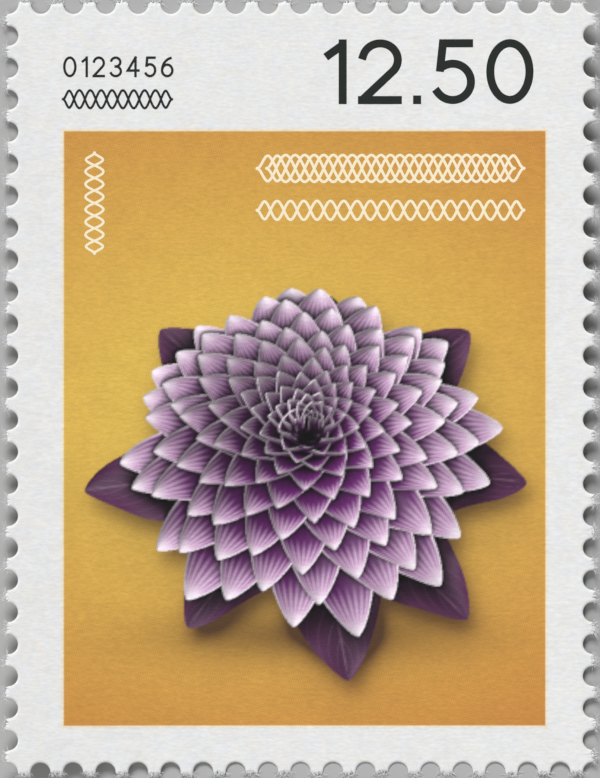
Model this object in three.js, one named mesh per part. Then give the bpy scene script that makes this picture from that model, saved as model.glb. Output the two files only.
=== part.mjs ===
// A gummed postage stamp: one sheet of coated paper, torn from its neighbours along lines of punched holes.
// Each side is a row of half holes with a torn tooth between each two, and each corner is a quarter hole.
// The sheet lies face up on its gummed back. It is flat along a band and curls up gently on both sides of it.
//
// Millimetres. +X runs across the stamp to its right side, +Y up its height, and +Z out of its printed face.
// The origin is the centre of the stamp, on the surface that it lies on.

import * as THREE from "three";

// Perforation, which sets the stamp's size: collectors count the holes along 20 mm.
const GAUGE_LENGTH = 20;
const HOLES_PER_GAUGE_X = 13.8;
const HOLES_PER_GAUGE_Y = 14;
const PITCHES_ACROSS = 18; // from corner hole to corner hole
const PITCHES_UP = 24;
const HOLE_RADIUS = 0.44;
const HOLE_STEPS = 8; // straight sides to a half hole

// Paper
const THICKNESS = 0.1;
const TOOTH_REACH = 0.2; // how far the longest torn tooth stands out past the line of hole centres
const LEAST_REACH = 0.15; // the shortest corner of a torn end, as a share of that reach
const MOST_REACH = 0.9; // the longest corner of a tooth that isn't the longest one
const TOOTH_CORNERS = 3; // corners on a tooth's torn end, an odd number
const TEAR_SEED = 1417;

// Curl: the sheet bends about a line that leans off its height, as paper bends along its grain.
const CURL_LEAN = THREE.MathUtils.degToRad(12);
const FLAT_HALF_WIDTH = 4;
const CURL_RATE = 0.007; // height gained, per square millimetre of distance past the flat band

// A linear congruential generator, which draws the torn ends: each state is the last one times a multiplier,
// plus an increment, and what is left of that after division by the modulus
const DRAW_MODULUS = 2 ** 32;
const DRAW_MULTIPLIER = 1664525;
const DRAW_INCREMENT = 1013904223;

const PITCH_X = GAUGE_LENGTH / HOLES_PER_GAUGE_X;
const PITCH_Y = GAUGE_LENGTH / HOLES_PER_GAUGE_Y;
const WIDTH = PITCHES_ACROSS * PITCH_X;
const HEIGHT = PITCHES_UP * PITCH_Y;
const MIDDLE_CORNER = (TOOTH_CORNERS - 1) / 2;

// A side of the stamp: its first corner, the way it runs, and the way out of the sheet, which is to its
// right.
function makeSide(cornerX, cornerY, alongX, alongY, pitch, pitches) {
  return {
    corner: new THREE.Vector2(cornerX, cornerY),
    along: new THREE.Vector2(alongX, alongY),
    outward: new THREE.Vector2(alongY, -alongX),
    pitch,
    pitches,
  };
}

// The sides in turn, anticlockwise from the lower left corner.
const SIDES = [
  makeSide(-WIDTH / 2, -HEIGHT / 2, 1, 0, PITCH_X, PITCHES_ACROSS),
  makeSide(WIDTH / 2, -HEIGHT / 2, 0, 1, PITCH_Y, PITCHES_UP),
  makeSide(WIDTH / 2, HEIGHT / 2, -1, 0, PITCH_X, PITCHES_ACROSS),
  makeSide(-WIDTH / 2, HEIGHT / 2, 0, -1, PITCH_Y, PITCHES_UP),
];

// Numbers from 0 to 1 that look random and are the same on each run.
function seededRandom(seed) {
  let state = seed;
  return () => {
    state = (state * DRAW_MULTIPLIER + DRAW_INCREMENT) % DRAW_MODULUS;
    return state / DRAW_MODULUS;
  };
}

// A point at a distance along a side from its first corner, and at a distance out from its line of hole
// centres.
function pointOn(side, distance, out) {
  return side.corner.clone().addScaledVector(side.along, distance).addScaledVector(side.outward, out);
}

// One tooth, from the rim of the hole before it to the rim of the hole after it, with its torn end in
// between. The middle tooth of each side is the longest, so that all four sides reach equally far from the
// origin.
function makeTooth(side, index, random) {
  const centre = (index + 0.5) * side.pitch;
  const halfWidth = side.pitch / 2 - HOLE_RADIUS;
  const tornEnd = [];
  for (let i = 0; i < TOOTH_CORNERS; i += 1) {
    const offset = ((i - MIDDLE_CORNER) / (MIDDLE_CORNER + 1)) * halfWidth;
    const reach = TOOTH_REACH * THREE.MathUtils.lerp(LEAST_REACH, MOST_REACH, random());
    const isLongest = index === side.pitches / 2 && i === MIDDLE_CORNER;
    tornEnd.push(pointOn(side, centre + offset, isLongest ? TOOTH_REACH : reach));
  }
  return {
    side,
    index,
    before: [pointOn(side, centre - halfWidth, 0), ...tornEnd.slice(0, MIDDLE_CORNER)],
    tip: tornEnd[MIDDLE_CORNER],
    after: [...tornEnd.slice(MIDDLE_CORNER + 1), pointOn(side, centre + halfWidth, 0)],
  };
}

// The points round the hole that follows a tooth, without the arc's ends, which belong to the teeth. It is
// half a circle along a side and a quarter at a corner, and it turns clockwise, into the sheet.
function holePoints(tooth, isAtCorner) {
  const centre = pointOn(tooth.side, (tooth.index + 1) * tooth.side.pitch, 0);
  const start = tooth.side.along.angle() + Math.PI;
  const sweep = isAtCorner ? Math.PI / 2 : Math.PI;
  const steps = isAtCorner ? HOLE_STEPS / 2 : HOLE_STEPS;
  const points = [];
  for (let i = 1; i < steps; i += 1) {
    const angle = start - (sweep * i) / steps;
    points.push(new THREE.Vector2(Math.cos(angle), Math.sin(angle)).multiplyScalar(HOLE_RADIUS).add(centre));
  }
  return points;
}

// The rim of the sheet as a ring of spans. Each runs from the tip of one tooth, round a hole, to the next
// tip.
function makeRim() {
  const random = seededRandom(TEAR_SEED);
  const teeth = [];
  for (const side of SIDES) {
    for (let index = 0; index < side.pitches; index += 1) {
      teeth.push(makeTooth(side, index, random));
    }
  }
  return teeth.map((tooth, i) => {
    const next = teeth[(i + 1) % teeth.length];
    const hole = holePoints(tooth, next.side !== tooth.side);
    return [tooth.tip, ...tooth.after, ...hole, ...next.before, next.tip];
  });
}

// Lines through the middles of the teeth, which cut the sheet into cells of one pitch.
function toothLines(pitches, pitch) {
  return Array.from({ length: pitches }, (_, i) => (i + 0.5 - pitches / 2) * pitch);
}

const LINES_X = toothLines(PITCHES_ACROSS, PITCH_X);
const LINES_Y = toothLines(PITCHES_UP, PITCH_Y);

function nearestOf(lines, value) {
  return lines.reduce((best, line) => (Math.abs(line - value) < Math.abs(best - value) ? line : best));
}

// The crossing of the lines that lies straight behind a tooth's tip.
function crossingBehind(tip) {
  return new THREE.Vector2(nearestOf(LINES_X, tip.x), nearestOf(LINES_Y, tip.y));
}

// The flat pattern as cells: rectangles between the lines, and one cell for each span of the rim.
function makeCells(rim) {
  const cells = [];
  for (let i = 0; i + 1 < LINES_X.length; i += 1) {
    for (let j = 0; j + 1 < LINES_Y.length; j += 1) {
      const [left, right, low, high] = [LINES_X[i], LINES_X[i + 1], LINES_Y[j], LINES_Y[j + 1]];
      const corners = [[left, low], [right, low], [right, high], [left, high]];
      cells.push(corners.map(([x, y]) => new THREE.Vector2(x, y)));
    }
  }
  for (const span of rim) {
    const first = crossingBehind(span[0]);
    const last = crossingBehind(span[span.length - 1]);
    cells.push(last.equals(first) ? [...span, last] : [...span, last, first]);
  }
  return cells;
}

// Height of the sheet's back above the surface: none on the flat band, then rising as the square of the
// distance past it.
function liftAt(point) {
  const across = point.x * Math.cos(CURL_LEAN) + point.y * Math.sin(CURL_LEAN);
  const past = Math.max(0, Math.abs(across) - FLAT_HALF_WIDTH);
  return CURL_RATE * past * past;
}

// The sheet as one closed solid. Each triangle of a cell is a face on the front and one on the back, and each
// stretch of the rim is a wall between them.
function makeSheetGeometry() {
  const rim = makeRim();
  const positions = [];
  const onBack = (point) => [point.x, point.y, liftAt(point)];
  const onFront = (point) => [point.x, point.y, liftAt(point) + THICKNESS];
  for (const cell of makeCells(rim)) {
    for (const face of THREE.ShapeUtils.triangulateShape(cell, [])) {
      const [a, b, c] = face.map((corner) => cell[corner]);
      positions.push(...onFront(a), ...onFront(b), ...onFront(c));
      positions.push(...onBack(c), ...onBack(b), ...onBack(a));
    }
  }
  for (const span of rim) {
    for (let i = 0; i + 1 < span.length; i += 1) {
      const [here, next] = [span[i], span[i + 1]];
      positions.push(...onBack(here), ...onBack(next), ...onFront(next));
      positions.push(...onBack(here), ...onFront(next), ...onFront(here));
    }
  }
  const geometry = new THREE.BufferGeometry();
  geometry.setAttribute("position", new THREE.Float32BufferAttribute(positions, 3));
  geometry.computeVertexNormals();
  return geometry;
}

const paper = new THREE.MeshStandardMaterial({ color: 0xe6e6e4, roughness: 0.7, metalness: 0 });
const sheet = new THREE.Mesh(makeSheetGeometry(), paper);
sheet.name = "stamp_sheet";

const stamp = new THREE.Group();
stamp.add(sheet);

export default stamp;
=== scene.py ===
# %% [markdown]
# # A postage stamp, seen as a scanner sees it
# The object is one sheet of gummed paper, torn from its neighbours along lines of punched holes and
# printed on its front. It is only a tenth of a millimetre thick, so nearly all that the eye reads is
# small: the rims of the holes, the torn fibres between them, and the ink. Each gets a piece or a finish of
# its own below.
#
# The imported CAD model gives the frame. This script never moves it. It makes finer surfaces in the same
# place, in metres, and says which solid each of them stands for.

import math

import bpy
import numpy as np
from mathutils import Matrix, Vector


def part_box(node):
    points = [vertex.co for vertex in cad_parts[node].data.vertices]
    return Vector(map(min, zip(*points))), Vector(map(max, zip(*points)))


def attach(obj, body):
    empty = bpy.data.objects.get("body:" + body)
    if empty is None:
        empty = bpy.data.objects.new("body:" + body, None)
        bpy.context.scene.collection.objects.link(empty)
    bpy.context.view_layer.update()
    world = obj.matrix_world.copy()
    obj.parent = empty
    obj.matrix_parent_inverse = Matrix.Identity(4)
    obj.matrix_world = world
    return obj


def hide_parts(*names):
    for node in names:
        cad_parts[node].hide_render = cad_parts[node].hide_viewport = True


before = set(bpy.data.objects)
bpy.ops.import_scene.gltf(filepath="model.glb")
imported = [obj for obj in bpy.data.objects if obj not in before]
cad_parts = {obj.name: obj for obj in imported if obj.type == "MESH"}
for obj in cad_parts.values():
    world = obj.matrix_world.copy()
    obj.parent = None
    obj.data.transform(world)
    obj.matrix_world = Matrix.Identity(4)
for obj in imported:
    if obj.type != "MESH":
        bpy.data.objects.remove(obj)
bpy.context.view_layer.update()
low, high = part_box("stamp_sheet")
print("frame box, mm:", [round(1000 * v, 3) for v in (*low, *high)])

# %% [markdown]
# ## Sizes
# Everything is worked out in millimetres and turned into metres when a mesh is made. The stamp's width and
# height come from the frame. Collectors describe a stamp by its perforation, so the rest follows from
# counting pitches: 18 across and 24 up, from corner hole to corner hole.

# %% Sizes of the stamp
MM = 0.001
PITCHES_ACROSS = 18
PITCHES_UP = 24
TOOTH_REACH = 0.2  # how far the longest tooth stands out past the line of hole centres
HOLE_RADIUS = 0.44
THICKNESS = 0.1
CURL_LEAN = math.radians(12)
FLAT_HALF_WIDTH = 4
CURL_RATE = 0.007

WIDTH = (high.x - low.x) / MM - 2 * TOOTH_REACH
HEIGHT = (high.y - low.y) / MM - 2 * TOOTH_REACH
PITCH_X = WIDTH / PITCHES_ACROSS
PITCH_Y = HEIGHT / PITCHES_UP
print(f"hole line to hole line {WIDTH:.2f} by {HEIGHT:.2f} mm, pitches {PITCH_X:.4f} and {PITCH_Y:.4f} mm")

# %% [markdown]
# ## The camera
# A flat scan has no perspective, so the camera looks straight down through a very long lens from far off.
# The scan's own scale is 22.5 pixels to the millimetre. The view here is about one part in two hundred
# wider, so that the tips of the teeth stay inside the picture.

# %% Camera
IMAGE_WIDTH = 600
IMAGE_HEIGHT = 778
PIXELS_PER_MM = 22.4
STAMP_CENTRE_PIXEL = (300.6, 388.0)
LENS = 600
SENSOR = 36  # the long side's width

view_height = IMAGE_HEIGHT / PIXELS_PER_MM
camera_data = bpy.data.cameras.new("scan_camera")
camera_data.lens = LENS
camera_data.sensor_width = SENSOR
camera = bpy.data.objects.new("scan_camera", camera_data)
camera.location = (
    (IMAGE_WIDTH / 2 - STAMP_CENTRE_PIXEL[0]) / PIXELS_PER_MM * MM,
    (STAMP_CENTRE_PIXEL[1] - IMAGE_HEIGHT / 2) / PIXELS_PER_MM * MM,
    view_height * LENS / SENSOR * MM,
)
bpy.context.scene.collection.objects.link(camera)
bpy.context.scene.camera = camera
print(f"camera {camera.location.z:.3f} m above the stamp, view {view_height:.2f} mm high")

# %% [markdown]
# ## Light
# A scanner's lamp runs along one edge of what it reads, so light comes mostly from the top of the picture:
# the lower rims of the holes shine and the upper ones are in shade. One wide soft light does that, a weaker
# one from the lower left fills the shadows, and a dim grey world does the rest. Both lights are far off for
# so small a thing, so they fall evenly on the stamp and on the card below it.

# %% Lights and world
def add_light(name, azimuth, elevation, width, strength):
    """A far light. Its place, anticlockwise from +X and above the card, and its width are in degrees."""
    data = bpy.data.lights.new(name, "SUN")
    data.angle = math.radians(width)
    data.energy = strength
    light = bpy.data.objects.new(name, data)
    light.rotation_euler = (0, math.radians(90 - elevation), math.radians(azimuth))
    bpy.context.scene.collection.objects.link(light)


add_light("top_light", azimuth=100, elevation=42, width=24, strength=2.9)
add_light("fill_light", azimuth=240, elevation=50, width=50, strength=0.95)

world = bpy.data.worlds.new("studio")
world.use_nodes = True
world.node_tree.nodes["Background"].inputs["Color"].default_value = (1.0, 1.0, 1.0, 1.0)
world.node_tree.nodes["Background"].inputs["Strength"].default_value = 0.14
bpy.context.scene.world = world
bpy.context.scene.view_settings.view_transform = "Standard"

# %% [markdown]
# ## Meshes from arrays
# A surface here is a function of two parameters, worked out for the whole grid at once. Where two
# stretches of it meet, their points coincide, and `weld` makes them one, so that the surface is closed. A
# quad that has lost a corner on the way is kept as a triangle.

# %% Weld
WELD = 1e-5  # millimetres


def weld(points, quads):
    """Makes coinciding points one. Returns the points, the faces, and the first index of each kept point.

    A face is four indices. A triangle names its last corner twice.
    """
    keys = np.round(points / WELD).astype(np.int64)
    _, first, where = np.unique(keys, axis=0, return_index=True, return_inverse=True)
    faces = where.reshape(-1)[quads]
    lost = faces == np.roll(faces, -1, axis=1)
    faces = faces[lost.sum(axis=1) < 2]
    lost = lost[lost.sum(axis=1) < 2]
    turn = np.where(lost.any(axis=1), lost.argmax(axis=1) - 2, 0)
    faces = np.take_along_axis(faces, (np.arange(4) + turn[:, None]) % 4, axis=1)
    return points[first], faces, first


# %% Faces of a grid
def grid_quads(rows, columns, start=0, closed=False):
    """Faces of a grid of points, row after row. A closed grid joins its last column to its first."""
    last = columns if closed else columns - 1
    row, column = np.meshgrid(np.arange(rows - 1), np.arange(last), indexing="ij")
    here = start + row * columns + column
    beside = start + row * columns + (column + 1) % columns
    return np.stack([here, beside, beside + columns, here + columns], axis=-1).reshape(-1, 4)


# %% Pieces
def make_piece(name, points, faces):
    """A smooth object from points in millimetres and faces of four indices. A triangle repeats its last."""
    kept = np.ones(faces.shape, bool)
    kept[:, 3] = faces[:, 3] != faces[:, 2]
    sizes = kept.sum(axis=1)
    mesh = bpy.data.meshes.new(name)
    mesh.vertices.add(len(points))
    mesh.vertices.foreach_set("co", (points * MM).astype(np.float32).ravel())
    mesh.loops.add(int(sizes.sum()))
    mesh.loops.foreach_set("vertex_index", faces[kept].astype(np.int32))
    mesh.polygons.add(len(faces))
    mesh.polygons.foreach_set("loop_start", (np.cumsum(sizes) - sizes).astype(np.int32))
    mesh.polygons.foreach_set("use_smooth", np.ones(len(faces), bool))
    mesh.update(calc_edges=True)
    mesh.validate()
    piece = bpy.data.objects.new(name, mesh)
    bpy.context.scene.collection.objects.link(piece)
    return piece


def finish_piece(piece, material):
    """Gives a piece its material and fastens it to the stamp."""
    piece.data.materials.append(material)
    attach(piece, "root")
    print(f"{piece.name}: {len(piece.data.vertices)} points, {len(piece.data.polygons)} faces")


# %% [markdown]
# ## The curl
# A free stamp is never quite flat: gum and paper take up damp at different rates. The CAD sheet is flat
# along a band that leans 12 degrees off its height and rises as a parabola on both sides. Each layer here
# is laid on that same surface, so that paper, ink and gum bend as one.

# %% Curl
def lift_at(x, y):
    """Height of the sheet's back: none on the flat band, then CURL_RATE times the squared way past it."""
    across = x * math.cos(CURL_LEAN) + y * math.sin(CURL_LEAN)
    past = np.maximum(0, np.abs(across) - FLAT_HALF_WIDTH)
    return CURL_RATE * past**2


def laid(x, y, above_back):
    """Points of the sheet's plan, lifted onto the curl and a height above its back."""
    x, y, above_back = np.broadcast_arrays(x, y, above_back)
    return np.stack([x, y, lift_at(x, y) + above_back], axis=-1)


# %% [markdown]
# ## Materials as functions
# Blender keeps a material as a graph of nodes. Writing one by hand is long, so this small class adds a
# node and hands back its output, and a material then reads like a sum. Patterns read Object coordinates,
# turned into millimetres, because every piece sits at the origin with its place in its mesh.

# %% Node helper
class Finish:
    """A material under construction. Its methods add nodes and return their output sockets."""

    def __init__(self, name, roughness, specular):
        self.material = bpy.data.materials.new(name)
        self.material.use_nodes = True
        self.tree = self.material.node_tree
        self.shader = self.tree.nodes["Principled BSDF"]
        self.shader.inputs["Roughness"].default_value = roughness
        self.shader.inputs["Specular IOR Level"].default_value = specular
        self.place = self.scaled(self.node("ShaderNodeTexCoord").outputs["Object"], (1 / MM, 1 / MM, 1 / MM))

    def node(self, kind, **settings):
        made = self.tree.nodes.new(kind)
        for key, value in settings.items():
            setattr(made, key, value)
        return made

    def feed(self, socket, value):
        """Links an output socket to an input, or sets a plain value on it."""
        if isinstance(value, bpy.types.NodeSocket):
            self.tree.links.new(value, socket)
        else:
            socket.default_value = value

    def scaled(self, vector, scale, turn=0.0):
        """A vector turned about Z and then scaled, axis by axis."""
        made = self.node("ShaderNodeMapping", vector_type="POINT")
        self.feed(made.inputs["Vector"], vector)
        made.inputs["Scale"].default_value = scale
        made.inputs["Rotation"].default_value = (0, 0, turn)
        return made.outputs["Vector"]

    def math(self, operation, *values):
        made = self.node("ShaderNodeMath", operation=operation)
        for socket, value in zip(made.inputs, values):
            self.feed(socket, value)
        return made.outputs["Value"]

    def noise(self, vector, scale, detail=2.0, roughness=0.5):
        made = self.node("ShaderNodeTexNoise")
        self.feed(made.inputs["Vector"], vector)
        made.inputs["Scale"].default_value = scale
        made.inputs["Detail"].default_value = detail
        made.inputs["Roughness"].default_value = roughness
        return made.outputs["Fac"]

    def remap(self, value, from_low, from_high, to_low, to_high):
        made = self.node("ShaderNodeMapRange")
        for socket, given in zip(made.inputs, (value, from_low, from_high, to_low, to_high)):
            self.feed(socket, given)
        return made.outputs["Result"]

    def mix(self, share, first, second, blend="MIX"):
        made = self.node("ShaderNodeMix", data_type="RGBA", blend_type=blend)
        colours = [socket for socket in made.inputs if socket.type == "RGBA"]
        self.feed(made.inputs["Factor"], share)
        self.feed(colours[0], first)
        self.feed(colours[1], second)
        return [socket for socket in made.outputs if socket.type == "RGBA"][0]

    def grey(self, value):
        """A number as a grey colour."""
        made = self.node("ShaderNodeCombineColor")
        for socket in made.inputs:
            self.feed(socket, value)
        return made.outputs["Color"]

    def attribute(self, name):
        return self.node("ShaderNodeAttribute", attribute_name=name)

    def bump(self, height, depth_mm):
        """Bumps as high as depth_mm, straight into the shader."""
        made = self.node("ShaderNodeBump")
        made.inputs["Distance"].default_value = depth_mm * MM
        self.feed(made.inputs["Height"], height)
        self.feed(self.shader.inputs["Normal"], made.outputs["Normal"])

    def colour(self, value):
        self.feed(self.shader.inputs["Base Color"], value)


# %% Colours
def colour_of(red, green, blue):
    """A colour as a screen shows it, 0 to 255, turned into the light that it stands for."""
    shown = np.array([red, green, blue]) / 255
    light = np.where(shown <= 0.04045, shown / 12.92, ((shown + 0.055) / 1.055) ** 2.4)
    return (*light.tolist(), 1.0)


# %% [markdown]
# ## Paper
# Stamp paper is coated: white, smooth and nearly matt. Close up the coating is not even. It has soft
# blotches a millimetre wide, and a finer grain that runs across the sheet, the way the fibres were laid.
# Where the paper was torn the coating is gone, and bare fibres scatter the light and look whiter.

# %% Tone and relief of the paper
BLOTCH_STRETCH = (0.9, 0.9, 0.9)
GRAIN_STRETCH = (1.3, 8.0, 1.0)  # the grain is about six times as long as it is wide
FIBRE_STRETCH = (3.6, 8.5, 1.0)
RELIEF = 0.010  # height of the bumps


def paper_tone(finish, strength):
    """A number about 1, for how light the paper is: the product of blotches, grain and fibres along X."""
    tone = 1.0
    for stretch, share in ((BLOTCH_STRETCH, 0.4), (GRAIN_STRETCH, 0.5), (FIBRE_STRETCH, 1.0)):
        noise = finish.noise(finish.scaled(finish.place, stretch), 1.0, 3.0, 0.65)
        spread = share * strength
        tone = finish.math("MULTIPLY", tone, finish.remap(noise, 0.3, 0.7, 1 - spread, 1 + spread))
    return tone


def toned(finish, colour, strength):
    """A colour times the paper's tone."""
    return finish.mix(1.0, colour, finish.grey(paper_tone(finish, strength)), blend="MULTIPLY")


def paper_relief(finish):
    """Bumps of the paper's face: fibres that lie mostly along X."""
    finish.bump(finish.noise(finish.scaled(finish.place, FIBRE_STRETCH), 1.0, 4.0, 0.7), RELIEF)


# %% Paper finish
def make_paper():
    finish = Finish("coated_paper", roughness=0.7, specular=0.2)
    patches = finish.remap(finish.noise(finish.place, 1.6, 3.0, 0.6), 0.35, 0.65, 0.0, 1.0)
    white = finish.mix(patches, colour_of(232, 233, 235), colour_of(234, 233, 230))
    white = toned(finish, white, 0.06)
    torn = finish.attribute("torn").outputs["Fac"]
    fluff = finish.remap(finish.noise(finish.place, 28.0, 3.0, 0.7), 0.3, 0.7, 0.0, 1.0)
    core = finish.mix(fluff, colour_of(214, 216, 218), colour_of(246, 246, 246))
    finish.colour(finish.mix(torn, white, core))
    paper_relief(finish)
    return finish.material


paper = make_paper()

# %% [markdown]
# ## The torn sheet
# The sheet's rim is a path, and its section is a profile carried along that path: up the cut wall, over a
# small burr that the punch left, and onto the flat front. At a hole the wall is nearly upright. Between
# two holes the paper was torn, so there the profile feathers out: the coating lets go first and the core
# reaches further.
#
# One pitch of the rim runs from the middle of one hole to the middle of the next: a quarter circle, a torn
# end, a quarter circle. At a corner of the stamp the hole keeps only an eighth on each side.

# %% Sides of the stamp
class Side:
    """One side of the stamp: its first corner, the way it runs, the way out of it, and its pitches."""

    def __init__(self, corner, along, pitch, pitches):
        self.corner = np.array(corner)
        self.along = np.array(along)
        self.outward = np.array([along[1], -along[0]])
        self.pitch = pitch
        self.pitches = pitches

    def plan(self, distance, out):
        """Points of the plan at distances along the side, and out past its line of hole centres."""
        distance, out = np.broadcast_arrays(distance, out)
        return self.corner + distance[..., None] * self.along + out[..., None] * self.outward


SIDES = [
    Side((-WIDTH / 2, -HEIGHT / 2), (1, 0), PITCH_X, PITCHES_ACROSS),
    Side((WIDTH / 2, -HEIGHT / 2), (0, 1), PITCH_Y, PITCHES_UP),
    Side((WIDTH / 2, HEIGHT / 2), (-1, 0), PITCH_X, PITCHES_ACROSS),
    Side((-WIDTH / 2, HEIGHT / 2), (0, -1), PITCH_Y, PITCHES_UP),
]
print("sides run along", [side.along.tolist() for side in SIDES])

# %% How far each tooth reaches
TOOTH_CORNERS = 3
LEAST_REACH = 0.15
MOST_REACH = 0.9
TEAR_SEED = 1417
DRAW_MODULUS = 2**32
DRAW_MULTIPLIER = 1664525
DRAW_INCREMENT = 1013904223


def seeded_reaches():
    """How far each corner of each torn end stands out: one array a side, by the CAD sheet's own draws."""
    state = TEAR_SEED
    sides = []
    for side in SIDES:
        drawn = []
        for _ in range(side.pitches * TOOTH_CORNERS):
            state = (state * DRAW_MULTIPLIER + DRAW_INCREMENT) % DRAW_MODULUS
            drawn.append(state / DRAW_MODULUS)
        share = LEAST_REACH + (MOST_REACH - LEAST_REACH) * np.array(drawn).reshape(-1, TOOTH_CORNERS)
        share[side.pitches // 2, TOOTH_CORNERS // 2] = 1
        sides.append(TOOTH_REACH * share)
    return sides


reaches = seeded_reaches()
tooth_reaches = np.concatenate(reaches)
print(f"{len(tooth_reaches)} teeth, mean reach {tooth_reaches.mean():.3f} mm")

# %% Profile of the rim
# Each row of the profile is an inset from the rim and a height above the back, in millimetres, at a punched
# rim and at a torn end. The inset of a torn end varies by up to its share "rough" along the tear.
PROFILE = [
    {"cut": (0.160, 0.000), "torn": (0.240, 0.000), "rough": 0.0},
    {"cut": (0.012, 0.000), "torn": (0.060, 0.002), "rough": 0.7},
    {"cut": (0.000, 0.014), "torn": (0.000, 0.028), "rough": 0.0},
    {"cut": (0.004, 0.044), "torn": (0.022, 0.046), "rough": 0.9},
    {"cut": (0.022, 0.065), "torn": (0.070, 0.062), "rough": 0.8},
    {"cut": (0.056, 0.088), "torn": (0.115, 0.088), "rough": 0.5},
    {"cut": (0.094, 0.098), "torn": (0.160, 0.098), "rough": 0.15},
    {"cut": (0.126, 0.100), "torn": (0.220, 0.100), "rough": 0.0},
    {"cut": (0.155, 0.100), "torn": (0.270, 0.100), "rough": 0.0},
]
print("profile:", len(PROFILE), "rows, the deepest inset", max(row["torn"][0] for row in PROFILE), "mm")

# %% Outline of a torn end
SHOULDER = 0.8  # share of a tooth's half width at which its first and last corner stand


def smoothed(values, passes):
    """Values made smoother along their last axis: each becomes the mean of itself and its neighbours."""
    for _ in range(passes):
        values = (np.roll(values, 1, axis=-1) + values + np.roll(values, -1, axis=-1)) / 3
    return values


def torn_outline(offset, corner_reaches, half_width):
    """How far torn ends reach at offsets from their middles, one row to a tooth.

    The outline is straight from corner to corner. Each corner's reach is the mean of its own and the
    tooth's, because fibres blunt a paper point.
    """
    corners = half_width * np.array([-1, -SHOULDER, 0, SHOULDER, 1])
    blunted = (corner_reaches + corner_reaches.mean(axis=1, keepdims=True)) / 2
    return np.stack([np.interp(o, corners, [0, *reach, 0]) for o, reach in zip(offset, blunted)])


# %% Rows of the rim
ARC_STEPS = 14  # to a quarter of a hole
TEAR_STEPS = 34  # to a torn end
RAGGED = 0.09  # how far the fine raggedness moves a torn edge in or out, at most
NOTCH_GAIN = 1.5  # its wider notches cut in by up to this many times as much again
RAGGED_DEPTH = 0.27  # how far in from the edge the raggedness has faded out
RAGGED_SEED = 31
TEAR_START = 0.25  # share of the half width over which the cut rim turns into the torn one
PULL_ANGLE = math.pi / 6  # of a hole's rim next to a tooth, where its inset also goes back into the tooth


def raggedness(outline, edge_fade, random):
    """How far torn ends are moved by noise and by notches, but never past the longest tooth."""
    fine = smoothed(random.uniform(-1, 1, outline.shape), 1)
    notch = np.minimum(0, smoothed(random.uniform(-1, 1, outline.shape), 3))
    return np.minimum(edge_fade * RAGGED * (fine + NOTCH_GAIN * notch), TOOTH_REACH - outline)


def hole_part(side, hole, way, angle, inset, height):
    """A row's points on the quarter holes before the torn ends (way 1) or after them (way -1).

    A point at the angle t is radius + inset away from the hole's centre: cos t of that along the side, and
    sin t of it into the sheet. Close to the tooth it goes in a little deeper.
    """
    radius = HOLE_RADIUS + inset
    corner_pull = inset * np.maximum(0, 1 - angle / PULL_ANGLE) ** 2
    distance = hole * side.pitch + way * radius * np.cos(angle)
    return distance, -radius * np.sin(angle) - corner_pull, np.full(angle.shape, height)


def rim_rows(side, corner_reaches, random):
    """The profile carried along one side. Returns the points, row by row, and how torn each one is.

    The offset runs across a tooth. The torn end's outline joins the tooth's corners by straight lines, and
    noise is added, less and less from row to row inwards.
    """
    index = np.arange(side.pitches)[:, None]
    half_width = side.pitch / 2 - HOLE_RADIUS
    quarter = np.full(side.pitches, math.pi / 2)
    before, after = quarter.copy(), quarter.copy()
    before[0] = after[-1] = math.pi / 4
    share = np.linspace(0, 1, ARC_STEPS + 1)
    angle_before = before[:, None] * (1 - share)
    angle_after = after[:, None] * share
    offset = np.linspace(-half_width, half_width, TEAR_STEPS + 1)[1:-1]
    outline = torn_outline(np.tile(offset, (side.pitches, 1)), corner_reaches, half_width)
    edge_fade = np.minimum(1, (half_width - np.abs(offset)) / (TEAR_START * half_width))
    ragged = raggedness(outline, edge_fade, random)
    tornness = np.tile(edge_fade, (side.pitches, 1))
    points, torn = [], []
    for row in PROFILE:
        cut_inset, cut_height = row["cut"]
        torn_inset, torn_height = row["torn"]
        rough = 1 + row["rough"] * smoothed(random.uniform(-1, 1, outline.shape), 1)
        inset = cut_inset + (torn_inset * rough - cut_inset) * tornness
        height = cut_height + (torn_height - cut_height) * tornness
        across = (index + 0.5) * side.pitch + offset * (1 - cut_inset / half_width)
        reach = outline + ragged * (1 - torn_inset / RAGGED_DEPTH) - inset
        parts = (
            hole_part(side, index, 1, angle_before, cut_inset, cut_height),
            (across, reach, height),
            hole_part(side, index + 1, -1, angle_after, cut_inset, cut_height),
        )
        distance, out, above = (np.concatenate(part, axis=1).ravel() for part in zip(*parts))
        points.append(np.concatenate([side.plan(distance, out), above[:, None]], axis=1))
        still = np.zeros((side.pitches, ARC_STEPS + 1))
        torn.append(np.concatenate([still, tornness, still], axis=1).ravel())
    return np.stack(points), np.stack(torn)


def make_rim():
    """The rows of all four sides, joined into one ring."""
    random = np.random.default_rng(RAGGED_SEED)
    made = [rim_rows(side, reach, random) for side, reach in zip(SIDES, reaches)]
    return np.concatenate([m[0] for m in made], axis=1), np.concatenate([m[1] for m in made], axis=1)


rim, rim_torn = make_rim()
print("rim:", rim.shape[1], "points round,", rim.shape[0], "rows up")

# %% [markdown]
# Inside the rim the sheet is plain, and a coarse lattice of a quarter of a pitch is enough. The rim's
# hundreds of points are drawn to the nearest lattice points on a rectangle half a pitch in, so that the
# fine ring and the coarse lattice share every point and no gap opens between them.

# %% Lattice inside the rim
LATTICE_STEPS = 4  # to a pitch


def lattice_lines(size, pitch):
    """Lines a quarter of a pitch apart, from half a pitch inside one side to half a pitch inside the next."""
    step = pitch / LATTICE_STEPS
    count = round((size - pitch) / step)
    return (np.arange(count + 1) - count / 2) * step


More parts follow.
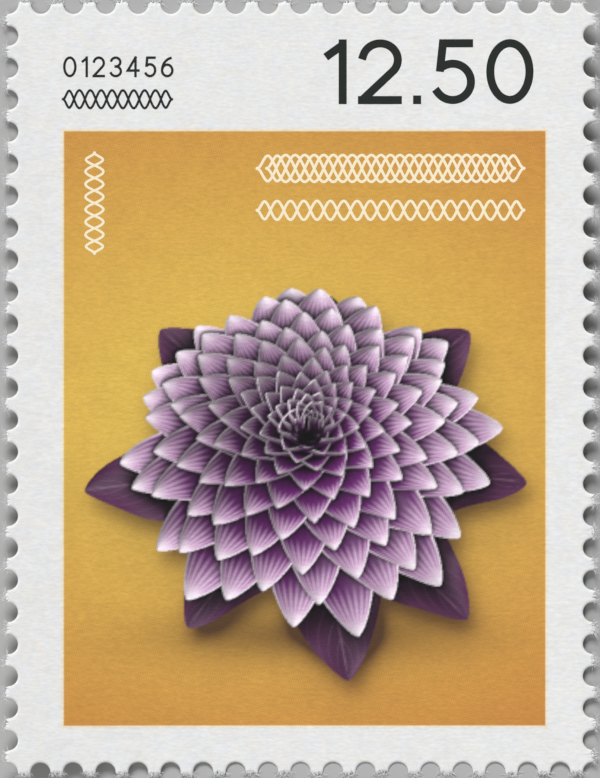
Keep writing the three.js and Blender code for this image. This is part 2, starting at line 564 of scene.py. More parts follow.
def snapped(values, lines):
    """Each value moved to the nearest of the lines, which are evenly spaced."""
    step = lines[1] - lines[0]
    nearest = np.clip(np.round((values - lines[0]) / step), 0, len(lines) - 1)
    return lines[0] + nearest * step


LATTICE_X = lattice_lines(WIDTH, PITCH_X)
LATTICE_Y = lattice_lines(HEIGHT, PITCH_Y)
print(f"lattice of {len(LATTICE_X)} by {len(LATTICE_Y)} points")

# %% The whole sheet
def inner_ring(row, above_back):
    """The ring on the inner rectangle that a row of the rim is joined to, at a height above the back."""
    x = snapped(row[:, 0], LATTICE_X)
    y = snapped(row[:, 1], LATTICE_Y)
    return np.stack([x, y, np.full(len(x), above_back)], axis=1)


def joined(rows, lattices):
    """Rows of a ring and flat lattices, welded. A lattice is a height above the back, and 1 if it faces up
    or -1 if it faces down. Returns what weld does.
    """
    points = [np.concatenate(rows)]
    quads = [grid_quads(len(rows), rim.shape[1], closed=True)]
    x, y = np.meshgrid(LATTICE_X, LATTICE_Y)
    for above_back, way in lattices:
        quads.append(grid_quads(*x.shape, start=sum(len(p) for p in points))[:, ::way])
        points.append(np.stack([x, y, np.full(x.shape, above_back)], axis=-1).reshape(-1, 3))
    return weld(np.concatenate(points), np.concatenate(quads))


def make_sheet():
    """The rim's rows with a ring and a lattice at each end of them, for the back and for the front."""
    rows = [inner_ring(rim[0], 0.0), *rim, inner_ring(rim[-1], THICKNESS)]
    flat, faces, first = joined(rows, ((0.0, -1), (THICKNESS, 1)))
    torn = np.zeros(len(rows) * rim.shape[1] + 2 * len(LATTICE_X) * len(LATTICE_Y))
    torn[rim.shape[1] : (len(rows) - 1) * rim.shape[1]] = rim_torn.ravel()
    return laid(flat[:, 0], flat[:, 1], flat[:, 2]), faces, torn[first]


sheet_points, sheet_faces, sheet_torn = make_sheet()
paper_sheet = make_piece("paper_sheet", sheet_points, sheet_faces)
torn_attribute = paper_sheet.data.attributes.new("torn", "FLOAT", "POINT")
torn_attribute.data.foreach_set("value", sheet_torn.astype(np.float32))
finish_piece(paper_sheet, paper)
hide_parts("stamp_sheet")

# %% [markdown]
# ## Torn fibres
# Paper tears by pulling its fibres out, not by cutting them. They stand from the torn ends as short,
# curved hairs a fiftieth of a millimetre thick, pointing mostly outwards. There are thousands, so each is
# a tube of three sides. Its path is a running sum of small steps whose heading turns a little from one to
# the next.

# %% Paths of the fibres
FIBRES_PER_TOOTH = 46
FIBRE_RINGS = 7
FIBRE_SPREAD = 0.96  # share of a tooth's width that has fibres
FIBRE_LENGTH = (0.07, 0.30)
LONG_SHARE = 0.1  # of the fibres are long ones
LONG_EXTRA = 0.2
MOST_FIBRE_REACH = 0.46  # past the line of hole centres
ROOT_DEPTH = 0.045
ROOT_HEIGHT = (0.018, 0.085)
LEAST_HEIGHT = 0.014
FAN = 0.8  # radians that the fibres at a tooth's side lean outwards
HEADING_SPREAD = 0.65
TURN_SPREAD = 1.1
RISE_SPREAD = 0.03


def fibre_paths(side, corner_reaches, random):
    """Paths of one side's fibres in the plan, and their heights: arrays of fibres by rings.

    The heading h(t) starts near straight out and turns evenly, and the path is the running sum of the steps
    (sin h, cos h). The height rises or falls evenly from somewhere inside the sheet's thickness.
    """
    half_width = side.pitch / 2 - HOLE_RADIUS
    shape = (side.pitches, FIBRES_PER_TOOTH)
    offset = half_width * random.uniform(-FIBRE_SPREAD, FIBRE_SPREAD, shape)
    outline = torn_outline(offset, corner_reaches, half_width)
    centre = (np.arange(side.pitches)[:, None] + 0.5) * side.pitch
    length = random.uniform(*FIBRE_LENGTH, shape)
    length = np.where(random.random(shape) < LONG_SHARE, length + LONG_EXTRA, length)
    length = np.minimum(length, MOST_FIBRE_REACH + ROOT_DEPTH - outline)
    heading = random.normal(0, HEADING_SPREAD, shape) + FAN * offset / half_width
    turning = random.normal(0, TURN_SPREAD, shape)
    step = (length / (FIBRE_RINGS - 1))[..., None]
    share = np.linspace(0, 1, FIBRE_RINGS)
    angle = heading[..., None] + turning[..., None] * share
    distance = (centre + offset)[..., None] + np.cumsum(step * np.sin(angle), axis=-1)
    out = (outline - ROOT_DEPTH)[..., None] + np.cumsum(step * np.cos(angle), axis=-1)
    start = random.uniform(*ROOT_HEIGHT, shape)[..., None]
    height = start + random.normal(0, RISE_SPREAD, shape)[..., None] * share
    height = np.clip(height, LEAST_HEIGHT, THICKNESS)
    plan = side.plan(distance, out).reshape(-1, FIBRE_RINGS, 2)
    return plan, height.reshape(-1, FIBRE_RINGS)


# %% Fibres as tubes
FIBRE_SIDES = 3
FIBRE_SEED = 88
THINNEST_FIBRE = 0.006  # from its middle to its skin
THICKEST_FIBRE = 0.013


def make_fibres():
    """Tubes round the paths: ring j lies at its path point plus radius(j) times (cos a across, sin a up).

    At the corners that curl up, no path stands higher than the sheet itself does.
    """
    random = np.random.default_rng(FIBRE_SEED)
    made = [fibre_paths(side, reach, random) for side, reach in zip(SIDES, reaches)]
    plan = np.concatenate([m[0] for m in made])
    room = high.z / MM - THICKEST_FIBRE - lift_at(plan[..., 0], plan[..., 1])
    height = np.minimum(np.concatenate([m[1] for m in made]), room)
    forward = np.gradient(plan, axis=1)
    forward /= np.linalg.norm(forward, axis=-1, keepdims=True)
    across = np.stack([-forward[..., 1], forward[..., 0]], axis=-1)
    taper = np.array([0, *np.linspace(1, 0.35, FIBRE_RINGS - 2), 0])
    radius = random.uniform(THINNEST_FIBRE, THICKEST_FIBRE, len(plan))[:, None] * taper
    angle = np.arange(FIBRE_SIDES) * 2 * math.pi / FIBRE_SIDES
    x = plan[:, :, None, 0] + radius[..., None] * np.cos(angle) * across[:, :, None, 0]
    y = plan[:, :, None, 1] + radius[..., None] * np.cos(angle) * across[:, :, None, 1]
    above = height[..., None] + radius[..., None] * np.sin(angle)
    one = grid_quads(FIBRE_RINGS, FIBRE_SIDES, closed=True)
    start = np.arange(len(plan)) * FIBRE_RINGS * FIBRE_SIDES
    quads = (one[None] + start[:, None, None]).reshape(-1, 4)
    return weld(laid(x, y, above).reshape(-1, 3), quads)[:2]


def make_fibre_finish():
    finish = Finish("bare_fibre", roughness=0.8, specular=0.2)
    tone = finish.noise(finish.place, 9.0, 2.0)
    finish.colour(finish.mix(tone, colour_of(226, 228, 230), colour_of(246, 246, 244)))
    return finish.material


torn_fibres = make_piece("torn_fibres", *make_fibres())
finish_piece(torn_fibres, make_fibre_finish())

# %% [markdown]
# ## Gum
# The back of the stamp is coated with dried gum. It is a film a few thousandths of a millimetre thick, so
# it is one surface just under the sheet, with the same rim and the same lattice, facing down. It is
# faintly cream, and it shines more than the paper does.

# %% Gum film
GUM_DROP = 0.003


def make_gum():
    """The back of the sheet again, from just inside its rim, at GUM_DROP below it."""
    points, faces, _ = joined([inner_ring(rim[0], 0.0), rim[0], rim[1]], ((0.0, -1),))
    return laid(points[:, 0], points[:, 1], -GUM_DROP), faces


def make_gum_finish():
    finish = Finish("dried_gum", roughness=0.28, specular=0.5)
    flow = finish.noise(finish.scaled(finish.place, (0.5, 2.4, 1.0)), 0.6, 3.0, 0.6)
    finish.colour(finish.mix(flow, colour_of(222, 218, 200), colour_of(232, 229, 214)))
    finish.bump(finish.math("ADD", flow, finish.noise(finish.place, 7.0, 3.0, 0.6)), 0.004)
    return finish.material


gum_film = make_piece("gum_film", *make_gum())
finish_piece(gum_film, make_gum_finish())

# %% [markdown]
# ## A canvas for the picture
# The print on a stamp is a picture in thin ink. Here it is a bloom on a golden ground, and it is drawn by
# calculation. It is worked out once, on a fine canvas of evenly spaced points, and is then laid on the
# paper as the colours of a film. Two tools are enough for it: a ramp that goes softly from 0 to 1, and a
# blur, which is a product once an image is split into waves.

# %% Canvas
FRINGE = 0.16  # how far the yellow plate shows past the others
PANEL_WIDTH = 21.42 + 2 * FRINGE
PANEL_HEIGHT = 26.46 + 2 * FRINGE
PANEL_CENTRE = (0.18, -1.80)
DOT = 0.0325  # from one canvas point to the next
COLUMNS = round(PANEL_WIDTH / DOT) + 1
ROWS = round(PANEL_HEIGHT / DOT) + 1

canvas_x, canvas_y = np.meshgrid(
    np.linspace(-PANEL_WIDTH / 2, PANEL_WIDTH / 2, COLUMNS),
    np.linspace(-PANEL_HEIGHT / 2, PANEL_HEIGHT / 2, ROWS),
)
print(f"canvas of {COLUMNS} by {ROWS} points")

# %% Ramp, blur and tints
def ramp(start, end, value):
    """From 0 at start to 1 at end, softly: t²(3 − 2t), where t is the share of the way."""
    share = np.clip((value - start) / (end - start), 0, 1)
    return share**2 * (3 - 2 * share)


def blurred(image, reach):
    """An image blurred with a bell curve, exp(−d² / 2 reach²), by way of its waves."""
    up = np.fft.fftfreq(image.shape[0], DOT)[:, None]
    across = np.fft.rfftfreq(image.shape[1], DOT)
    bell = np.exp(-2 * (math.pi * reach) ** 2 * (up**2 + across**2))
    return np.fft.irfft2(np.fft.rfft2(image) * bell, image.shape)


def moved(image, right, up):
    """An image moved by millimetres."""
    return np.roll(image, (round(up / DOT), round(right / DOT)), axis=(0, 1))


def tint(red, green, blue):
    return np.array(colour_of(red, green, blue)[:3])


def toward(colours, target, share):
    """Colours mixed with a target by a share for each point."""
    return colours + (target - colours) * share[..., None]


# %% [markdown]
# ## Petals
# A petal is a spoon. It leaves the middle of the bloom at some slope, bends as it goes out, is widest near
# its own middle, and is cupped from side to side. Each petal is turned by the golden angle from the one
# before, as on a real flower, where a new petal takes the widest gap that is left. The first ones are short
# and upright, the last ones long and nearly flat. The leaves behind them are the same surface with other
# numbers.

# %% Petal surface
BLOOM_CENTRE = (0.15, -1.7)
BLOOM_TILT = math.radians(26)  # the bloom leans back


def spoons(turn, length, half_width, slope, bend, radius, height, cup, wave, tip, steps):
    """Petals as one array: x, y, z by petals by steps along by steps across.

    u runs from 0 to 1 along a petal and v from -1 to 1 across it. The slope grows as s(u) = slope + bend u,
    so the middle line is at radius + length (cos s(0) - cos s(u)) / bend from the axis, and it stands at
    height + length (sin s(u) - sin s(0)) / bend. The half width w is
    half_width sin(π (0.1 + 0.9 u^tip))^0.7, and the rims rise off the middle line by
    w (cup v² + wave sin(11 u + 3 turn) |v|³).
    """
    turn, length, half_width, slope, bend, radius, height, cup, wave = (
        np.broadcast_to(values, len(turn))[:, None, None]
        for values in (turn, length, half_width, slope, bend, radius, height, cup, wave)
    )
    u = np.linspace(0, 1, steps[0])[:, None]
    v = np.linspace(-1, 1, steps[1])
    now = slope + bend * u
    width = half_width * np.sin(math.pi * (0.1 + 0.9 * u**tip)) ** 0.7
    rise = width * (cup * v**2 + wave * np.sin(11 * u + 3 * turn) * np.abs(v) ** 3)
    out = radius + length * (np.cos(slope) - np.cos(now)) / bend - rise * np.cos(now)
    above = height + length * (np.sin(now) - np.sin(slope)) / bend + rise * np.sin(now)
    aside = width * v * (1 - 0.1 * v**2)
    x = out * np.cos(turn) - aside * np.sin(turn)
    y = out * np.sin(turn) + aside * np.cos(turn)
    lean_y = y * math.cos(BLOOM_TILT) + above * math.sin(BLOOM_TILT)
    lean_z = above * math.cos(BLOOM_TILT) - y * math.sin(BLOOM_TILT)
    return np.stack([x, lean_y, lean_z]).astype(np.float32)


# %% The bloom's petals and leaves
GOLDEN_ANGLE = math.pi * (3 - math.sqrt(5))
PETALS = 168
LEAVES = 8
BLOOM_SEED = 3


def make_petals(random):
    """The bloom, from its middle outwards. The share a is 0 for the first petal and 1 for the last."""
    a = np.linspace(0, 1, PETALS)
    length = (1.5 + 6.2 * a**0.9) * random.normal(1, 0.02, PETALS)
    bend = np.radians(-26 + 60 * a**0.75) + random.normal(0, 0.02, PETALS)
    return spoons(
        turn=GOLDEN_ANGLE * np.arange(PETALS) + random.normal(0, 0.03, PETALS),
        length=length,
        half_width=0.46 * length**0.7 * (0.4 + 0.6 * ramp(0, 0.12, a)) * random.normal(1, 0.04, PETALS),
        slope=np.radians(9 + 63 * a**0.7) + random.normal(0, 0.006, PETALS),
        bend=np.where(np.abs(bend) < 0.02, 0.02, bend),
        radius=0.2 + 0.9 * a,
        height=3.6 * (1 - a) ** 1.1,
        cup=0.85 - 0.5 * a,
        wave=0.05 + 0.05 * a,
        tip=0.88,
        steps=(280, 140),
    )


def make_leaves(random):
    """A ring of broad leaves, which lie flat behind the bloom."""
    turn = np.linspace(0, 2 * math.pi, LEAVES, endpoint=False) + random.normal(0, 0.12, LEAVES)
    length = random.uniform(7.9, 9.0, LEAVES)
    return spoons(
        turn=turn,
        length=length,
        half_width=0.32 * length,
        slope=math.radians(78),
        bend=np.radians(random.uniform(18, 30, LEAVES)),
        radius=1.2,
        height=-1.2,
        cup=0.22,
        wave=0.16,
        tip=0.72,
        steps=(500, 260),
    )


print(f"golden angle {math.degrees(GOLDEN_ANGLE):.1f} degrees, {PETALS} petals and {LEAVES} leaves")

# %% [markdown]
# ## Painting
# A painter works from the back to the front. All the samples of all the petals are dropped onto the canvas
# in that order, and on each point the last one stays. Its place on its petal then gives its colour: dark
# at the foot, paler towards the rim, with veins that fan out. Light comes from the upper left.

# %% Petal and leaf colours
def facing(surface):
    """Unit normals of the surfaces, all turned to the viewer."""
    normal = np.cross(np.gradient(surface, axis=2), np.gradient(surface, axis=3), axis=0)
    normal /= np.linalg.norm(normal, axis=0) + 1e-12
    return normal * np.where(normal[2] < 0, -1, 1)


def petal_colours(u, v, share):
    """Deep purple at the foot, and pale at the tip and rims, where the colour runs in along the veins."""
    vein = 0.5 + 0.5 * np.cos(8 * math.pi * v + 0.6 * np.sin(6 * u))
    fine_vein = 0.5 + 0.5 * np.cos(23 * math.pi * v)
    rim = 0.9 * ramp(0.84, 1.0, np.abs(v)) * ramp(0.25, 0.7, u)
    rim = np.clip(rim + ramp(0.74, 1.02, u + 0.12 * vein * ramp(0.3, 0.9, u)), 0, 1)
    white_rim = np.clip(0.8 * ramp(0.88, 1, u) + 0.75 * ramp(0.9, 1, np.abs(v)) * ramp(0.3, 0.8, u), 0, 1)
    colours = toward(tint(50, 14, 54), tint(110, 36, 114), ramp(0.15, 0.8, u) * (1 - 0.25 * vein))
    colours = toward(colours, tint(214, 178, 210), 0.95 * rim)
    colours = toward(colours, tint(246, 238, 244), white_rim)
    in_shade = (0.3 + 0.7 * ramp(0.05, 0.6, u)) * (0.8 + 0.2 * ramp(0, 0.12, share))
    return colours * ((1 - 0.12 * fine_vein * (1 - rim)) * in_shade)[:, None]


def leaf_colours(u, v, _):
    """Dusky purple with a pale rib, and side veins that leave it forwards."""
    rib = np.exp(-((v / 0.035) ** 2))
    beside_vein = 2 * np.abs((9 * (u - 0.34 * np.abs(v))) % 1 - 0.5)
    veins = np.clip(rib + 0.55 * ramp(0.8, 1, beside_vein) * (1 - 0.4 * np.abs(v)), 0, 1)
    colours = toward(tint(52, 24, 50), tint(92, 48, 84), 0.4 + 0.6 * ramp(0, 0.9, np.abs(v)))
    return toward(colours, tint(150, 104, 140), 0.6 * veins)


# %% Petals on the canvas
LIGHT_WAY = np.array([-0.50, 0.62, 0.60]) / math.sqrt(0.50**2 + 0.62**2 + 0.60**2)
UNLIT = 0.3  # brightness of a petal that is turned away from the light
LIT_GAIN = 0.93  # what facing the light adds
SHINE_POWER = 24
GROUND_DEPTH = -4.0  # of the golden ground behind the bloom


def painted(surface, colours_of, gloss):
    """Petals dropped onto the canvas. Returns where they cover it, their height and their lit colour."""
    petals, along, across = surface.shape[1:]
    x, y, z = surface.reshape(3, petals, -1)
    column = np.rint((x + BLOOM_CENTRE[0] + PANEL_WIDTH / 2) / DOT).clip(0, COLUMNS - 1)
    row = np.rint((y + BLOOM_CENTRE[1] + PANEL_HEIGHT / 2) / DOT).clip(0, ROWS - 1)
    point = (row * COLUMNS + column).astype(int).ravel()
    first_sample = np.arange(petals)[:, None] * along * across
    order = (np.argsort(z, axis=1) + first_sample)[::-1].ravel()
    last = np.full(ROWS * COLUMNS, -1)
    last[point[order]] = order
    covered = last.reshape(ROWS, COLUMNS) >= 0
    seen = last[last >= 0]
    petal, step_along, step_across = np.unravel_index(seen, (petals, along, across))
    normal = facing(surface).reshape(3, -1)[:, seen]
    half_way = LIGHT_WAY + [0, 0, 1]
    lit = np.clip(LIGHT_WAY @ normal, 0, 1)
    shine = np.clip(half_way @ normal / np.linalg.norm(half_way), 0, 1) ** SHINE_POWER
    flat = colours_of(step_along / (along - 1), 2 * step_across / (across - 1) - 1, petal / petals)
    height = np.full((ROWS, COLUMNS), GROUND_DEPTH)
    height[covered] = z.ravel()[seen]
    shown = np.zeros((ROWS, COLUMNS, 3))
    shown[covered] = flat * (UNLIT + LIT_GAIN * lit)[:, None] + gloss * shine[:, None]
    return covered, height, shown


# %% The golden ground
GLOW_CENTRE = (-2.5, 0.5)
GLOW_STRETCH = 0.7  # the glow is this many times as high as it is wide
GLOW_RADIUS = 4.0
GLOW_FADE = 12.6
POOL_DROP = 7.6  # from the bloom's middle down to that of the shadow under it
POOL_WIDTH = 6.5
POOL_HEIGHT = 1.1
POOL_DARKNESS = 0.55
DARKEST_SHADOW = 0.92


def paint_ground(covered):
    """Gold, browner away from the middle, with the shadow of all that stands in front of it."""
    away = np.hypot(GLOW_STRETCH * (canvas_x - GLOW_CENTRE[0]), canvas_y - GLOW_CENTRE[1])
    browned = np.clip((away - GLOW_RADIUS) / GLOW_FADE, 0, 1)
    ground = toward(tint(224, 186, 85), tint(201, 136, 66), browned)
    cast = 0.6 * blurred(moved(covered, 0.25, -0.55), 0.35) + 0.3 * blurred(moved(covered, 0.4, -1.3), 1.2)
    pool_x = (canvas_x - BLOOM_CENTRE[0]) / POOL_WIDTH
    pool_y = (canvas_y - BLOOM_CENTRE[1] + POOL_DROP) / POOL_HEIGHT
    pool = POOL_DARKNESS * np.exp(-(pool_x**2 + pool_y**2))
    return toward(ground, tint(58, 34, 34), np.clip(cast + pool, 0, DARKEST_SHADOW))


# %% The whole picture
GAP_BLURS = ((0.10, 1.5), (0.28, 0.9), (0.80, 0.3))  # reach of a blur, and its share in the shade
GAP_DARKNESS = 1.25


def paint_picture():
    """The whole picture, in linear light, and where on the canvas its fine detail is.

    Narrow gaps are dark. A point is shaded by exp(-GAP_DARKNESS d), where d adds up how far it lies below
    its blurred surroundings, for a near, a middle and a far blur.
    """
    random = np.random.default_rng(BLOOM_SEED)
    bloom, bloom_height, bloom_colours = painted(make_petals(random), petal_colours, 0.08)
    leaves, leaf_height, leaf_shown = painted(make_leaves(random), leaf_colours, 0.05)
    on_leaves = blurred(moved(bloom.astype(float), 0.4, -0.8), 0.5)
    leaf_shown *= (1 - 0.75 * np.clip(1.3 * on_leaves, 0, 1))[..., None]
    height = np.maximum(np.where(bloom, bloom_height, leaf_height), GROUND_DEPTH)
    below = sum(gain * np.clip(blurred(height, reach) - height, 0, None) for reach, gain in GAP_BLURS)
    front = np.where(bloom[..., None], bloom_colours, leaf_shown) * np.exp(-GAP_DARKNESS * below)[..., None]
    covered = bloom | leaves
    ground = paint_ground(covered.astype(float))
    return np.where(covered[..., None], front, ground).clip(0, 1), covered


picture, detailed = paint_picture()
print(f"bloom covers {100 * detailed.mean():.0f}% of the panel, mean colour", picture.mean((0, 1)).round(3))

# %% [markdown]
# ## Ink film
# The film lies two thousandths of a millimetre above the paper. Its mesh is a net of canvas lines, close
# together where the bloom is and wide apart on the plain ground. Each point carries its colour as an
# attribute.
#
# Its finish puts that colour through a press. It is parted into cyan, magenta, yellow and black, and each
# is laid as dots on a grid of its own angle, larger where more ink is asked for. Coverage by such dots is
# an area, so the dot's threshold is a square root of the amount. Wet ink spreads, so part of each tone
# stays flat.

# %% Picture film
INK_LIFT = 0.002
FINE_LINES = 2  # canvas points from one line of the mesh to the next, on the bloom
COARSE_LINES = 12
NET_MARGIN = 4  # canvas points that the fine lines go past the bloom, to each side
SOFTENING = 0.02


def net_lines(busy):
    """Indices of the canvas lines that the mesh keeps: fine ones where busy and at the fringe, or coarse."""
    index = np.arange(len(busy))
    close = np.convolve(busy, np.ones(2 * NET_MARGIN + 1), mode="same") > 0
    kept = (index % COARSE_LINES == 0) | (close & (index % FINE_LINES == 0))
    to_side = np.minimum(index, index[::-1])
    return np.flatnonzero(kept | (to_side <= round(FRINGE / DOT)))


def make_picture_film():
    """The net with its colours, which fade at the rim to the pale yellow of one plate, then to the paper."""
    column = net_lines(detailed.any(axis=0))
    row = net_lines(detailed.any(axis=1))
    net = np.ix_(row, column)
    x = canvas_x[net] + PANEL_CENTRE[0]
    y = canvas_y[net] + PANEL_CENTRE[1]
    colours = np.stack([blurred(picture[..., i], SOFTENING)[net] for i in range(3)], axis=-1).clip(0, 1)
    inside = np.minimum(PANEL_WIDTH / 2 - np.abs(canvas_x[net]), PANEL_HEIGHT / 2 - np.abs(canvas_y[net]))
    colours = toward(colours, tint(240, 228, 200), 1 - ramp(0.6 * FRINGE, FRINGE, inside))
    colours = toward(colours, tint(234, 232, 228), 1 - ramp(-0.3 * FRINGE, 0.6 * FRINGE, inside))
    film = make_piece("picture_film", laid(x, y, THICKNESS + INK_LIFT).reshape(-1, 3), grid_quads(*x.shape))
    alpha = np.ones((*x.shape, 1))
    attribute = film.data.attributes.new("ink", "FLOAT_COLOR", "POINT")
    attribute.data.foreach_set("color", np.concatenate([colours, alpha], axis=-1).astype(np.float32).ravel())
    return film


picture_film = make_picture_film()

# %% Dots of one ink
SCREEN_PITCH = 0.1
SCREEN_SHARE = 0.07  # of each tone that is in dots
DOT_SOFTNESS = 0.35


def screened(finish, amount, angle):
    """One ink's coverage: flat in part, and in part dots whose threshold T makes their area equal the amount.

    The distance s = |x| + |y| from a dot's middle, in cells, runs to 1. Points with s < T cover 2T² of the
    cell up to one half, and 1 - 2(1 - T)² above it, so T = 1/2 ± (1/2 - √(m/2)), where m is the lesser of
    the amount and the rest.
    """
    cell = finish.node("ShaderNodeSeparateXYZ")
    turned = finish.scaled(finish.place, (1 / SCREEN_PITCH,) * 3, math.radians(angle))
    finish.feed(cell.inputs["Vector"], turned)
    away = [finish.math("PINGPONG", cell.outputs[axis], 0.5) for axis in ("X", "Y")]
    distance = finish.math("ADD", *away)
    over_half = finish.math("SUBTRACT", amount, 0.5)
    lesser = finish.math("SUBTRACT", 0.5, finish.math("ABSOLUTE", over_half))
    from_half = finish.math("SUBTRACT", 0.5, finish.math("SQRT", finish.math("MULTIPLY", lesser, 0.5)))
    threshold = finish.math("MULTIPLY_ADD", finish.math("SIGN", over_half), from_half, 0.5)
    margin = finish.math("DIVIDE", finish.math("SUBTRACT", threshold, distance), DOT_SOFTNESS)
    dots = finish.remap(margin, -0.5, 0.5, 0.0, 1.0)
    return finish.remap(SCREEN_SHARE, 0.0, 1.0, amount, dots)


# %% Press finish
SCREEN_ANGLES = {"cyan": 15, "magenta": 75, "yellow": 0, "black": 45}
BLACK_START = 0.45  # of the other inks, before black is added


def make_picture_finish():
    """Light through four inks on white: each channel is (1 − its ink) (1 − black)."""
    finish = Finish("screened_ink", roughness=0.6, specular=0.2)
    parts = finish.node("ShaderNodeSeparateColor")
    finish.feed(parts.inputs["Color"], finish.attribute("ink").outputs["Color"])
    wanted = [finish.math("SUBTRACT", 1.0, parts.outputs[name]) for name in ("Red", "Green", "Blue")]
    least = finish.math("MINIMUM", finish.math("MINIMUM", wanted[0], wanted[1]), wanted[2])
    black = finish.remap(least, BLACK_START, 1.0, 0.0, 1.0)
    light_left = finish.math("MAXIMUM", finish.math("SUBTRACT", 1.0, black), 0.01)
    black_plate = finish.math("SUBTRACT", 1.0, screened(finish, black, SCREEN_ANGLES["black"]))
    printed = finish.node("ShaderNodeCombineColor")
    for part, name, plate in zip(("Red", "Green", "Blue"), ("cyan", "magenta", "yellow"), parts.outputs):
        through = finish.math("MINIMUM", finish.math("DIVIDE", plate, light_left), 1.0)
        ink = screened(finish, finish.math("SUBTRACT", 1.0, through), SCREEN_ANGLES[name])
        shown = finish.math("MULTIPLY", finish.math("SUBTRACT", 1.0, ink), black_plate)
        finish.feed(printed.inputs[part], shown)
    finish.colour(toned(finish, printed.outputs["Color"], 0.08))
    paper_relief(finish)
    return finish.material


finish_piece(picture_film, make_picture_finish())

# %% [markdown]
# ## Figures and braids
# The stamp's value and a short row of figures are printed in solid black. Bands of woven lines stand in
# the sky of the picture, where the press left the paper bare. All of them are strokes: a path in the plan,
# and a ribbon of even width along it. A figure's path is made of straight lines and pieces of ellipses. A
# braid is two waves that mirror each other, and the widest band is two braids, one of them a quarter of a
# wave along.

# %% Lines and arcs
ARC_POINTS = 48


def bent(*corners):
    """A path of straight lines through some corners."""
    return np.array(corners, float)


def arc(x, y, wide, high, start, end):
    """Part of an ellipse about (x, y), from one angle to another, in degrees anticlockwise."""
    angle = np.radians(np.linspace(start, end, ARC_POINTS))
    return np.stack([x + wide * np.cos(angle), y + high * np.sin(angle)], axis=1)


# %% Paths of the figures, one unit high from middle line to middle line
FIGURES = {
    "0": [arc(0.30, 0.50, 0.30, 0.50, 90, 450)],
    "1": [bent((0.24, 1), (0.24, 0)), bent((0.20, 0.94), (0.03, 0.80))],
    "2": [
        np.concatenate([arc(0.28, 0.71, 0.27, 0.29, 165, -40), bent((0.03, 0.03))]),
        bent((0, 0), (0.55, 0)),
    ],
    "3": [arc(0.27, 0.76, 0.25, 0.24, 160, -90), arc(0.27, 0.26, 0.28, 0.26, 90, -155)],
    "4": [bent((0.42, 0), (0.42, 1)), bent((0.42, 1), (0, 0.30), (0.58, 0.30))],
    "5": [bent((0.50, 1), (0.10, 1), (0.06, 0.57)), arc(0.25, 0.32, 0.28, 0.32, 118, -145)],
    "6": [arc(0.62, 0.31, 0.62, 0.69, 105, 180), arc(0.28, 0.31, 0.28, 0.31, 180, 540)],
    ".": [bent((0, 0), (0, 0.01))],
}


def figures(text, left, baseline, height, stroke, stretch, gap):
    """Strokes of a row of figures, set one after the other, where the height is that of the ink."""
    strokes = []
    start = left + stroke / 2
    for figure in text:
        paths = [path * [stretch, 1] * (height - stroke) for path in FIGURES[figure]]
        strokes += [(path + [start, baseline + stroke / 2], stroke) for path in paths]
        start += max(path[:, 0].max() for path in paths) + stroke + gap
    print(f"{text}: from {left} to {start - gap - stroke / 2:.2f} mm")
    return strokes


# %% Braids
WAVE_POINTS = 24  # to one wave


def braid(left, middle, length, amplitude, wavelength, stroke):
    """Two strands, amplitude sin(2π x / wavelength) above the middle line and as far below it.

    Over the last third of a wave at each end, the height is also times the sine of the share of a quarter
    turn that is left, so that the strands meet.
    """
    along = np.linspace(0, length, round(WAVE_POINTS * length / wavelength))
    to_end = np.minimum(along, length - along)
    closing = np.sin(math.pi / 2 * np.minimum(1, 3 * to_end / wavelength))
    wave = amplitude * closing * np.sin(2 * math.pi * along / wavelength)
    return [(np.stack([left + along, middle + side * wave], axis=1), stroke) for side in (1, -1)]


def upright(strokes):
    """Strokes turned a quarter turn about the origin, so that what ran along X runs up Y."""
    return [(np.stack([-path[:, 1], path[:, 0]], axis=1), width) for path, width in strokes]


# %% Ribbons along the paths
STROKE_LIFT = 0.004
STROKE_STEP = 0.0004  # each stroke lies this much above the one before, so that no two share a plane
LEAST_MITRE = 0.45  # keeps the point of a sharp corner short


def ribbon_edges(path, width):
    """The right and left edge of a stroke: half the width to each side of the path, mitred at its corners.

    At a corner the path's way is the mean of the ways before and after it, and the edge is moved out by one
    over the cosine of half the turn. The ends of a path that isn't a ring are carried on by half the width.
    """
    ring = np.allclose(path[0], path[-1])
    way = np.diff(path, axis=0)
    way /= np.linalg.norm(way, axis=1, keepdims=True)
    before = np.concatenate([way[-1:] if ring else way[:1], way])
    after = np.concatenate([way, way[:1] if ring else way[-1:]])
    mean = before + after
    mean /= np.linalg.norm(mean, axis=1, keepdims=True)
    cosine = (mean * after).sum(axis=1, keepdims=True)
    aside = np.stack([-mean[:, 1], mean[:, 0]], axis=1) * width / 2 / np.maximum(LEAST_MITRE, cosine)
    longer = path.copy()
    if not ring:
        longer[0] -= way[0] * width / 2
        longer[-1] += way[-1] * width / 2
    return np.stack([longer - aside, longer + aside])


def make_strokes(name, strokes):
    """A piece from strokes, which are pairs of a path and its width."""
    edges = [ribbon_edges(path, width) for path, width in strokes]
    starts = np.cumsum([0, *(edge[..., 0].size for edge in edges)])
    quads = [grid_quads(2, edge.shape[1], start) for edge, start in zip(edges, starts)]
    plan = np.concatenate([edge.reshape(-1, 2) for edge in edges])
    above = THICKNESS + STROKE_LIFT + STROKE_STEP * np.repeat(np.arange(len(edges)), np.diff(starts))
    return make_piece(name, laid(plan[:, 0], plan[:, 1], above), np.concatenate(quads))


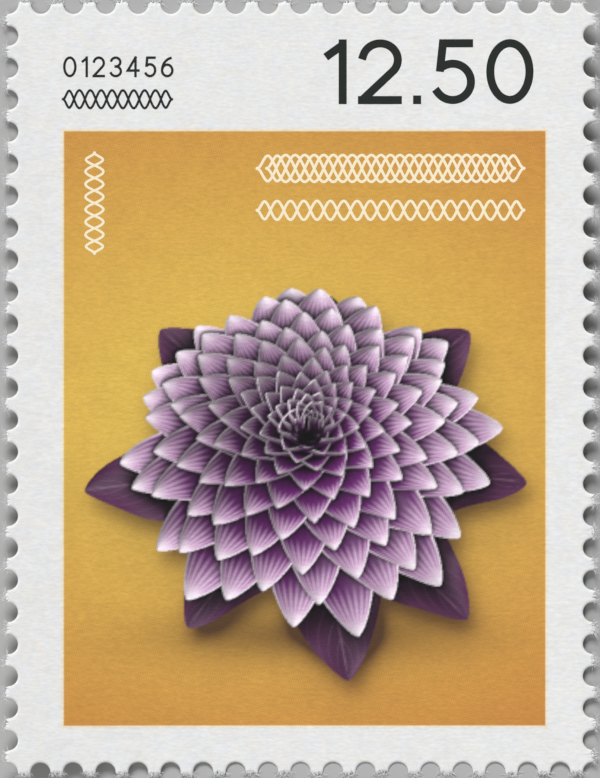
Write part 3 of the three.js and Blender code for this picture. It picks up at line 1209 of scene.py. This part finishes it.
# %% Black printing
black_strokes = [
    *figures("12.50", left=1.0, baseline=12.67, height=2.89, stroke=0.36, stretch=1.15, gap=0.5),
    *figures("0123456", left=-10.6, baseline=13.87, height=0.93, stroke=0.11, stretch=1, gap=0.2),
    *braid(left=-10.6, middle=12.89, length=4.85, amplitude=0.40, wavelength=0.97, stroke=0.10),
]
black_ink = Finish("solid_black_ink", roughness=0.6, specular=0.2)
black_ink.colour(toned(black_ink, colour_of(34, 39, 36), 0.06))
finish_piece(make_strokes("black_printing", black_strokes), black_ink.material)

# %% Braids left bare
bare_strokes = [
    *braid(left=-1.94, middle=9.80, length=11.90, amplitude=0.60, wavelength=1.70, stroke=0.12),
    *braid(left=-1.515, middle=9.80, length=11.05, amplitude=0.60, wavelength=1.70, stroke=0.12),
    *braid(left=-1.94, middle=7.93, length=11.90, amplitude=0.42, wavelength=1.19, stroke=0.12),
    *upright(braid(left=6.0, middle=9.2, length=4.50, amplitude=0.40, wavelength=1.125, stroke=0.11)),
]
bare_paper = Finish("bare_paper", roughness=0.7, specular=0.2)
bare_paper.colour(toned(bare_paper, colour_of(249, 236, 205), 0.02))
finish_piece(make_strokes("bare_braids", bare_strokes), bare_paper.material)

# %% [markdown]
# ## The card below
# The card is a disc, two metres from its middle to its rim. It is flat for the first half metre and then
# rises a little, as a studio's paper sweep does, so that a low camera doesn't see past it.

# %% Card
CARD_RADIUS = 2000
CARD_FLAT_RADIUS = 500
CARD_RISE = 60
CARD_DROP = 0.01  # below the back of the sheet
CARD_RINGS = 25
CARD_SPOKES = 96


def make_card():
    """A disc of height rise s² less the drop, where s goes from 0 at the flat part to 1 at the rim."""
    radius = np.linspace(0, CARD_RADIUS, CARD_RINGS)[:, None]
    angle = np.arange(CARD_SPOKES) * 2 * math.pi / CARD_SPOKES
    share = np.maximum(0, radius - CARD_FLAT_RADIUS) / (CARD_RADIUS - CARD_FLAT_RADIUS)
    height = CARD_RISE * share**2 - CARD_DROP + 0 * angle
    points = np.stack([radius * np.cos(angle), radius * np.sin(angle), height], axis=-1).reshape(-1, 3)
    points, faces, _ = weld(points, grid_quads(CARD_RINGS, CARD_SPOKES, closed=True)[:, ::-1])
    return make_piece("floor_card", points, faces)


floor_card = make_card()
card = Finish("pale_card", roughness=0.9, specular=0.1)
card.colour(card.mix(card.noise(card.place, 0.05, 2.0), colour_of(176, 176, 176), colour_of(180, 180, 180)))
floor_card.data.materials.append(card.material)
print("card: rises", round(max(corner[2] for corner in floor_card.bound_box), 3), "m at its rim")
